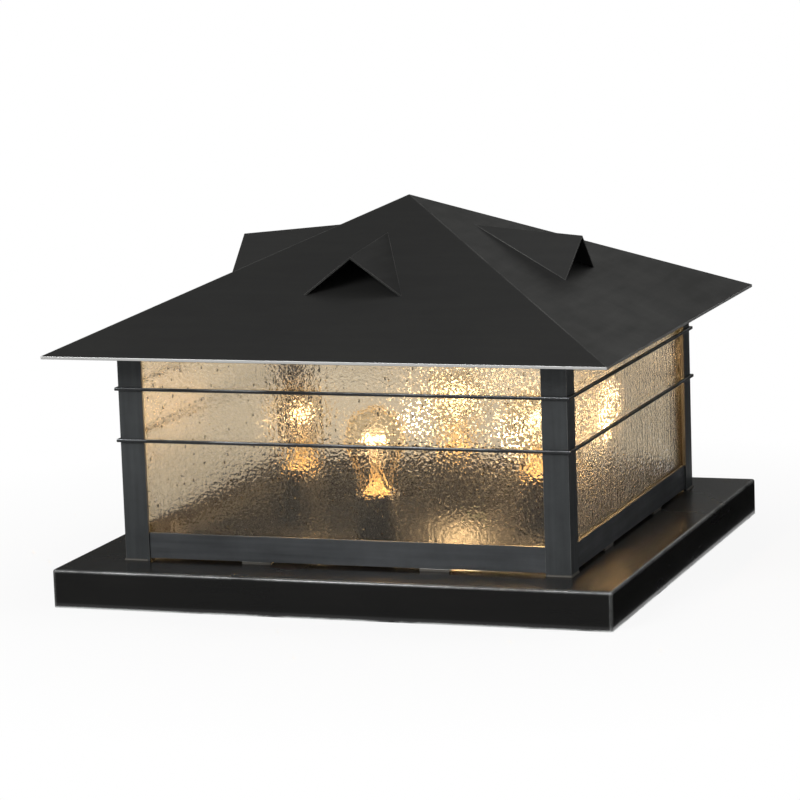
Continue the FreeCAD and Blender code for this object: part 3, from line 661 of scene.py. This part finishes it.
tip_round = 0.0003
thread_step = 0.0002
shank = [(screw_radius * 0.8, 0.0), (screw_radius, tip_round)]
shank += [(screw_radius, tip_round + thread_step * step) for step in range(1, 62)]
seat = screw_length - head_length
head = [(screw_radius, seat), (head_radius * 0.94, seat), (head_radius, seat + 0.0004)]
head += [(head_radius, screw_length - 0.0005), (head_radius * 0.93, screw_length), (0.0016, screw_length)]
head += [(0.0013, screw_length - 0.0006)]
screw_profile = shank + head
for side, turn in SIDES.items():
    verts, faces = sweep_round(screw_profile, screw_facets, screw_surface)
    cap_ends(verts, faces, screw_facets, len(screw_profile))
    lay_down = Matrix.Rotation(math.radians(90), 4, "X")
    to_place = Matrix.Translation((0, screw_high.y, (screw_low.z + screw_high.z) / 2))
    whole = face_side(turn) @ to_place @ lay_down
    piece = bind_mesh(
        f"knurled_screw_{side}", [whole @ vert for vert in verts], faces,
        screw_steel, f"roof_screw_{side}",
    )
    smooth_by_angle(piece, 40)
    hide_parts(f"roof_screw_{side}")


# ------------------------------------------------------------------ lampholders
# Black phenolic cups in two parts, joined at a seam, each with a pressed brass screw
# shell inside that catches the lamp's light round its rim.

phenolic = make_plain("black_phenolic", (0.014, 0.013, 0.012), 0.32, spots=90.0, relief=0.2)
shell_brass = make_plain("shell_brass", (0.62, 0.42, 0.17), 0.3, metallic=1.0, spots=120.0)
holder_low, holder_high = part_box("socket_front")
holder_radius = (holder_high.x - holder_low.x) / 2
holder_tall = holder_high.z - holder_low.z
seam_height = 0.033
cup_radius = 0.0146
cup_floor = 0.0275
holder_profile = [
    (0.006, 0.0),
    (holder_radius - 0.0016, 0.0),
    (holder_radius - 0.0004, 0.0006),
    (holder_radius - 0.0002, 0.0018),
    (holder_radius - 0.0002, seam_height - 0.0006),
    (holder_radius - 0.0010, seam_height),
    (holder_radius - 0.0010, seam_height + 0.0008),
    (holder_radius, seam_height + 0.0014),
    (holder_radius, holder_tall - 0.0016),
    (holder_radius - 0.0005, holder_tall - 0.0005),
    (holder_radius - 0.0016, holder_tall),
    (cup_radius + 0.0008, holder_tall),
    (cup_radius, holder_tall - 0.0008),
    (cup_radius, cup_floor),
    (0.006, cup_floor),
    (0.006, 0.0),
]


def at_lamp(turn):
    """Where the lamp on a side stands, on the deck plate."""
    low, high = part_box("socket_front")
    return face_side(turn) @ Matrix.Translation((0, (low.y + high.y) / 2, low.z))


for side, turn in SIDES.items():
    verts, faces = sweep_round(holder_profile, 64)
    piece = bind_mesh(
        f"lampholder_{side}", [at_lamp(turn) @ vert for vert in verts], faces,
        phenolic, "frame",
    )
    smooth_by_angle(piece, 30)
    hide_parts(f"socket_{side}")
dress("socket_shells", shell_brass, 0.0001)


# ------------------------------------------------------------------ lamps
# Clear blown bulbs on nickel-brass screw caps, each with a flared glass stem that holds a
# coiled filament on two wires. They are lit warm white, the right and back ones brighter.

# The bulb glass carries a painted warm glow towards its outline, and the stem glass a painted glow all over
# it, though glass gives no light.
bulb_glass = make_glass(
    "bulb_glass", (0.975, 0.93, 0.84), 0.0, 40.0, 0.0002, (0.98, 0.96, 0.92), painted_glare=(1.3, 0.78, 0.28), rim=0.6
)
stem_glass = make_glass(
    "stem_glass", (0.98, 0.95, 0.88), 0.05, 200.0, 0.0003, (0.95, 0.92, 0.85),
    painted_glare=(1.9, 1.15, 0.42), rim=0.0,
)
cap_metal = make_plain("lamp_cap_metal", (0.66, 0.52, 0.3), 0.25, metallic=1.0, spots=150.0)
black_glass = make_plain("cap_insulator", (0.02, 0.02, 0.022), 0.2)
wire_metal = make_plain("support_wire", (0.5, 0.45, 0.38), 0.35, metallic=1.0, spots=400.0)


def make_glow(name, colour, strength):
    """A filament at white heat, a little uneven along its coil."""
    material, tree = new_material(name)
    here = place_node(tree, "TexCoord").outputs["Object"]
    wander = place_node(tree, "TexNoise", {"Vector": here, "Scale": 500.0, "Detail": 1.0})
    heat = place_node(
        tree, "Mix",
        {"Factor": wander.outputs["Fac"], "A": (*colour, 1), "B": (1.0, 0.86, 0.62, 1)}, data_type="RGBA",
    )
    shader = place_node(
        tree, "BsdfPrincipled",
        {
            "Base Color": (0.8, 0.6, 0.3, 1),
            "Roughness": 0.5,
            "Emission Color": heat.outputs["Result"],
            "Emission Strength": strength,
        },
    )
    finish_material(tree, shader)
    return material


filament_glow = make_glow("filament_glow", (1.0, 0.66, 0.3), 420.0)
filament_glow.cycles.emission_sampling = "NONE"

bulb_low, bulb_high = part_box("lamp_glass_front")
cap_low, cap_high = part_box("lamp_cap_front")
lamp_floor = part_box("socket_front")[0].z
ball_radius = (bulb_high.x - bulb_low.x) / 2
cap_radius = (cap_high.x - cap_low.x) / 2
cap_top = cap_high.z - lamp_floor
cap_foot = cap_low.z - lamp_floor
bulb_tip = bulb_high.z - lamp_floor
neck_radius = 0.0155
neck_top = cap_top + 0.003
bulb_wall = 0.0008
cap_pitch = 0.0036
cap_thread_depth = 0.0011
lamp_facets = 72
lamp_power = {"front": 1.5, "right": 6.0, "back": 4.5, "left": 1.5}


def bulb_profile(inset, steps=22):
    """Half outline of the bulb, from its neck to its tip, moved in by inset."""
    ball = ball_radius - inset
    neck = neck_radius - inset
    middle = bulb_tip - ball_radius
    reach = middle - neck_top
    flare = (reach ** 2 + neck ** 2 - ball ** 2) / (2 * (ball - neck))
    share = ball / (ball + flare)
    meet_height = middle + (neck_top - middle) * share
    outline = [(cap_radius - inset, cap_top), (cap_radius - inset + 0.0009, cap_top + 0.0012)]
    last_turn = math.asin((meet_height - neck_top) / flare)
    for step in range(steps + 1):
        turn = last_turn * step / steps
        outline.append((neck + flare - flare * math.cos(turn), neck_top + flare * math.sin(turn)))
    first_rise = math.asin((meet_height - middle) / ball)
    for step in range(1, steps):
        rise = first_rise + (math.pi / 2 - first_rise) * step / steps
        outline.append((ball * math.cos(rise), middle + ball * math.sin(rise)))
    outline.append((0.00005, middle + ball))
    return outline


def thread_surface(turn, height, radius):
    """The rolled thread of the cap, with a rounded crest."""
    if radius < cap_radius * 0.99:
        return radius
    wave = 0.5 + 0.5 * math.cos(math.tau * height / cap_pitch - turn)
    return radius - cap_thread_depth * (1 - wave) ** 1.5


def make_lamp(side, turn):
    """Bulb, cap, stem, supports and filament of one lamp."""
    body = f"lamp_{side}"
    place = at_lamp(turn)

    def add_piece(name, verts, faces, material):
        return bind_mesh(f"{name}_{side}", [place @ vert for vert in verts], faces, material, body)

    outside = bulb_profile(0)
    inside = bulb_profile(bulb_wall)
    verts, faces = sweep_round(outside + inside[::-1], lamp_facets)
    bulb = add_piece("bulb", verts, faces, bulb_glass)
    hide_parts(f"lamp_glass_{side}")

    taper = cap_foot + 0.0065
    cap_profile = [(cap_radius * 0.86, taper - 0.0006), (cap_radius * 0.97, taper)]
    turns = 44
    for step in range(turns + 1):
        cap_profile.append((cap_radius, taper + 0.0004 + (cap_top - 0.0022 - taper) * step / turns))
    cap_profile += [(cap_radius * 0.96, cap_top - 0.001), (cap_radius * 0.96, cap_top), (0.004, cap_top)]
    verts, faces = sweep_round(cap_profile, lamp_facets, thread_surface)
    cap_ends(verts, faces, lamp_facets, len(cap_profile))
    cap_piece = add_piece("screw_cap", verts, faces, cap_metal)
    smooth_by_angle(cap_piece, 50)
    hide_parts(f"lamp_cap_{side}")
    tip_profile = [
        (0.0004, cap_foot), (0.0036, cap_foot + 0.0003), (0.0046, cap_foot + 0.0014),
        (0.0060, cap_foot + 0.0018), (cap_radius * 0.86, taper - 0.0006),
    ]
    verts, faces = sweep_round(tip_profile, 48)
    cap_ends(verts, faces, 48, len(tip_profile))
    insulator = add_piece("cap_insulator", verts, faces, black_glass)
    smooth_by_angle(insulator, 60)

    stem_top = cap_top + 0.032
    stem_profile = [
        (0.0118, cap_top + 0.0004), (0.0108, cap_top + 0.0020), (0.0072, cap_top + 0.0070),
        (0.0048, cap_top + 0.0120), (0.0036, cap_top + 0.0180), (0.0030, cap_top + 0.0250),
        (0.0034, stem_top - 0.0030), (0.0030, stem_top - 0.0008), (0.0012, stem_top),
    ]
    verts, faces = sweep_round(stem_profile, 40)
    cap_ends(verts, faces, 40, len(stem_profile))
    stem = add_piece("stem", verts, faces, stem_glass)
    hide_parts(f"lamp_stem_{side}")

    level = cap_top + 0.052
    spread = 0.0118
    for hand in (-1, 1):
        path = [
            Vector((hand * 0.0014, 0, stem_top - 0.012)), Vector((hand * 0.0020, 0, stem_top)),
            Vector((hand * 0.0075, 0, level - 0.008)), Vector((hand * spread, 0, level - 0.0006)),
            Vector((hand * spread, 0, level + 0.0010)),
        ]
        verts, faces = tube_along(path, [0.00035] * len(path), 8)
        add_piece("support_left" if hand < 0 else "support_right", verts, faces, wire_metal)

    for hand in (-1, 1):
        path = [
            Vector((hand * 0.0008, 0, stem_top - 0.0006)), Vector((hand * 0.0022, 0, stem_top + 0.006)),
            Vector((hand * spread * 0.5, 0, level + 0.0022)),
        ]
        verts, faces = tube_along(path, [0.00018] * len(path), 6)
        add_piece("hook_left" if hand < 0 else "hook_right", verts, faces, wire_metal)

    coils = 34
    per_coil = 8
    coil_radius = 0.0010
    coil_wire = 0.00026
    arch = 0.0028
    points = []
    for step in range(coils * per_coil + 1):
        share = step / (coils * per_coil)
        angle = math.tau * coils * share
        x = -spread + 2 * spread * share
        lifted = arch * math.sin(math.tau * share) ** 2
        y = coil_radius * math.cos(angle)
        z = level + lifted + coil_radius * math.sin(angle)
        points.append(Vector((x, y, z)))
    verts, faces = tube_along(points, [coil_wire] * len(points), 6)
    add_piece("filament", verts, faces, filament_glow)

    light = bpy.data.lights.new(f"lamp_light_{side}", "POINT")
    light.energy = lamp_power[side]
    light.color = (1.0, 0.74, 0.45)
    light.shadow_soft_size = 0.009
    lamp_light = bpy.data.objects.new(f"lamp_light_{side}", light)
    lamp_light.visible_camera = False
    lamp_light.visible_transmission = False
    lamp_light.location = place @ Vector((0, 0, level))
    bpy.context.scene.collection.objects.link(lamp_light)


for side, turn in SIDES.items():
    make_lamp(side, turn)


# ------------------------------------------------------------------ wiring under the plate
# Nipples and locknuts hold the lampholders. A pair of leads runs from each to a moulded
# block in the middle, with a green screw beside it for the earth wire.

def make_lead_insulation():
    """One lead of each pair is black and the other white, told apart by where they lie."""
    material, tree = new_material("lead_insulation")
    here = place_node(tree, "TexCoord").outputs["Object"]
    split = place_node(tree, "SeparateXYZ", {"Vector": here}).outputs
    product = place_node(tree, "Math", {0: split["X"], 1: split["Y"]}, operation="MULTIPLY")
    white = place_node(tree, "Math", {0: product.outputs[0], 1: 0.0}, operation="GREATER_THAN")
    scuff = place_node(tree, "TexNoise", {"Vector": here, "Scale": 300.0, "Detail": 3.0})
    tint = place_node(
        tree, "Mix",
        {"Factor": white.outputs[0], "A": (0.02, 0.02, 0.02, 1), "B": (0.62, 0.6, 0.56, 1)}, data_type="RGBA",
    )
    gloss = place_node(tree, "MapRange", {"Value": scuff.outputs["Fac"], "To Min": 0.3, "To Max": 0.55})
    bump = place_node(tree, "Bump", {"Strength": 0.1, "Distance": 0.0002, "Height": scuff.outputs["Fac"]})
    shader = place_node(
        tree, "BsdfPrincipled",
        {
            "Base Color": tint.outputs["Result"],
            "Roughness": gloss.outputs["Result"],
            "Normal": bump.outputs[0],
        },
    )
    finish_material(tree, shader)
    return material


block_plastic = make_plain("block_plastic", (0.5, 0.47, 0.4), 0.5, spots=40.0)
green_paint = make_plain("green_paint", (0.02, 0.22, 0.07), 0.3, spots=200.0)
dress("socket_nipples", zinc, 0.0002)
dress("socket_locknuts", zinc, 0.0004)
dress("terminal_block", block_plastic, 0.0008)
dress("lead_wires", make_lead_insulation())
dress("ground_screw", green_paint, 0.0003)


# ------------------------------------------------------------------ studio
# A pale floor and a white surround, two broad soft lights, six cards that only reflections
# show, and a long lens a little above the height of the roof.

def find_shown(tree):
    """The light path, and a mask of the rays that show the studio: direct, through glass or off gloss."""
    path = place_node(tree, "LightPath").outputs
    seen = place_node(
        tree, "Math", {0: path["Is Camera Ray"], 1: path["Is Transmission Ray"]}, operation="MAXIMUM"
    )
    shown = place_node(tree, "Math", {0: seen.outputs[0], 1: path["Is Glossy Ray"]}, operation="MAXIMUM")
    return path, shown.outputs[0]


def make_floor():
    """Pale floor, white to the camera but for the lantern's shadow, and clear from beneath."""
    material, tree = new_material("studio_floor")
    diffuse = place_node(tree, "BsdfDiffuse", {"Color": (0.8, 0.8, 0.8, 1)})
    glow = place_node(tree, "Emission", {"Color": (1, 1, 1, 1), "Strength": 1.0})
    shown = find_shown(tree)[1]
    shadow_reach = 0.34
    white_reach = 0.75
    here = place_node(tree, "TexCoord").outputs["Object"]
    away = place_node(tree, "VectorMath", {0: here}, operation="LENGTH").outputs["Value"]
    clean = place_node(
        tree, "MapRange",
        {"Value": away, "From Min": shadow_reach, "From Max": white_reach, "To Min": 0.9, "To Max": 1.0},
    )
    share = place_node(tree, "Math", {0: shown, 1: clean.outputs["Result"]}, operation="MULTIPLY")
    mixed = place_node(tree, "MixShader", {0: share.outputs[0], 1: diffuse.outputs[0], 2: glow.outputs[0]})
    below = place_node(tree, "NewGeometry").outputs["Backfacing"]
    clear = place_node(tree, "BsdfTransparent")
    one_sided = place_node(tree, "MixShader", {0: below, 1: mixed.outputs[0], 2: clear.outputs[0]})
    finish_material(tree, one_sided)
    mesh = bpy.data.meshes.new("studio_floor")
    reach = 30.0
    corners = [(-reach, -reach, 0), (reach, -reach, 0), (reach, reach, 0), (-reach, reach, 0)]
    mesh.from_pydata(corners, [], [(0, 1, 2, 3)])
    mesh.materials.append(material)
    floor = bpy.data.objects.new("studio_floor", mesh)
    bpy.context.scene.collection.objects.link(floor)


def make_surround():
    """White where it is seen, softer where it lights, dim where it is mirrored through a pane."""
    lit_strength = 0.26
    mirrored_strength = 0.04
    world = bpy.data.worlds.new("studio")
    bpy.context.scene.world = world
    world.use_nodes = True
    tree = world.node_tree
    tree.nodes.clear()
    path, shown = find_shown(tree)
    strength = place_node(tree, "MapRange", {"Value": shown, "To Min": lit_strength, "To Max": 1.0})
    mirrored = place_node(
        tree, "Math", {0: path["Glossy Depth"], 1: path["Is Transmission Ray"]}, operation="MULTIPLY"
    )
    through = place_node(tree, "Math", {0: mirrored.outputs[0], 1: 0.5}, operation="GREATER_THAN")
    dimmed = place_node(
        tree, "Mix",
        {"Factor": through.outputs[0], "A": strength.outputs["Result"], "B": mirrored_strength},
        data_type="FLOAT",
    )
    light = place_node(tree, "Background", {"Color": (1, 1, 1, 1), "Strength": dimmed.outputs["Result"]})
    output = place_node(tree, "OutputWorld")
    tree.links.new(light.outputs[0], output.inputs["Surface"])


def add_flag(name, centre, across, upward, shade):
    """A studio card that only reflections show; across and upward are its half sides."""
    material, tree = new_material(name)
    finish_material(tree, place_node(tree, "Emission", {"Color": (shade, shade, shade * 0.97, 1)}))
    centre, across, upward = Vector(centre), Vector(across), Vector(upward)
    corners = [
        centre - across - upward, centre + across - upward,
        centre + across + upward, centre - across + upward,
    ]
    mesh = bpy.data.meshes.new(name)
    mesh.from_pydata([tuple(corner) for corner in corners], [], [(0, 1, 2, 3)])
    mesh.materials.append(material)
    flag = bpy.data.objects.new(name, mesh)
    for kind in ("camera", "diffuse", "transmission", "shadow", "volume_scatter"):
        setattr(flag, f"visible_{kind}", False)
    bpy.context.scene.collection.objects.link(flag)


def add_soft_light(name, place, target, size, power):
    """A broad white light, hidden from the camera."""
    light = bpy.data.lights.new(name, "AREA")
    light.size = size
    light.energy = power
    lamp = bpy.data.objects.new(name, light)
    lamp.location = place
    lamp.rotation_euler = (Vector(target) - Vector(place)).to_track_quat("-Z", "Y").to_euler()
    lamp.visible_camera = False
    bpy.context.scene.collection.objects.link(lamp)


make_floor()
make_surround()
add_flag("ceiling_flag", (0, 3.1, 3.2), (5, 0, 0), (0, 2.9, 0), 0.06)
add_flag("rear_flag", (0, 6.0, 1.65), (7, 0, 0), (0, 0, 1.65), 0.09)
add_flag("bright_rear_card", (0.3, 5.9, 2.7), (1.6, 0, 0), (0, 0, 0.75), 0.9)
add_flag("right_flag", (1.7, 1.6, 0.5), (0.9, 1.2, 0), (0, 0, 0.5), 0.02)
add_flag("right_floor_flag", (1.3, 1.2, 0.003), (1.015, 0, 0), (0, 1.6, 0), 0.01)
add_flag("front_floor_flag", (-0.4, -1.0, 0.003), (1.6, 0, 0), (0, 0.71, 0), 0.22)
add_soft_light("key", (-1.2, -2.8, 1.9), (0, 0, 0.15), 1.4, 75)
add_soft_light("overhead", (0.8, 0.2, 2.6), (0, -0.1, 0.1), 1.0, 16)

# The camera stands off to the right of the front side and looks a little down at it.
azimuth = math.radians(19.44)
elevation = math.radians(9.32)
roll = math.radians(-1.98)
distance = 3.580
aside = -0.0208
above = 0.1250
back = Vector((
    math.sin(azimuth) * math.cos(elevation),
    -math.cos(azimuth) * math.cos(elevation),
    math.sin(elevation),
))
level_right = Vector((math.cos(azimuth), math.sin(azimuth), 0))
level_up = back.cross(level_right)
right = level_right * math.cos(roll) + level_up * math.sin(roll)
up = level_up * math.cos(roll) - level_right * math.sin(roll)
camera_data = bpy.data.cameras.new("camera")
camera_data.lens = 157.05
camera_data.sensor_width = 36
camera = bpy.data.objects.new("camera", camera_data)
place = back * distance + right * aside + up * above + Vector((0, 0, deck_top))
camera.matrix_world = Matrix((
    (right.x, up.x, back.x, place.x),
    (right.y, up.y, back.y, place.y),
    (right.z, up.z, back.z, place.z),
    (0, 0, 0, 1),
))
bpy.context.scene.collection.objects.link(camera)
bpy.context.scene.camera = camera
bpy.context.scene.view_settings.view_transform = "Standard"
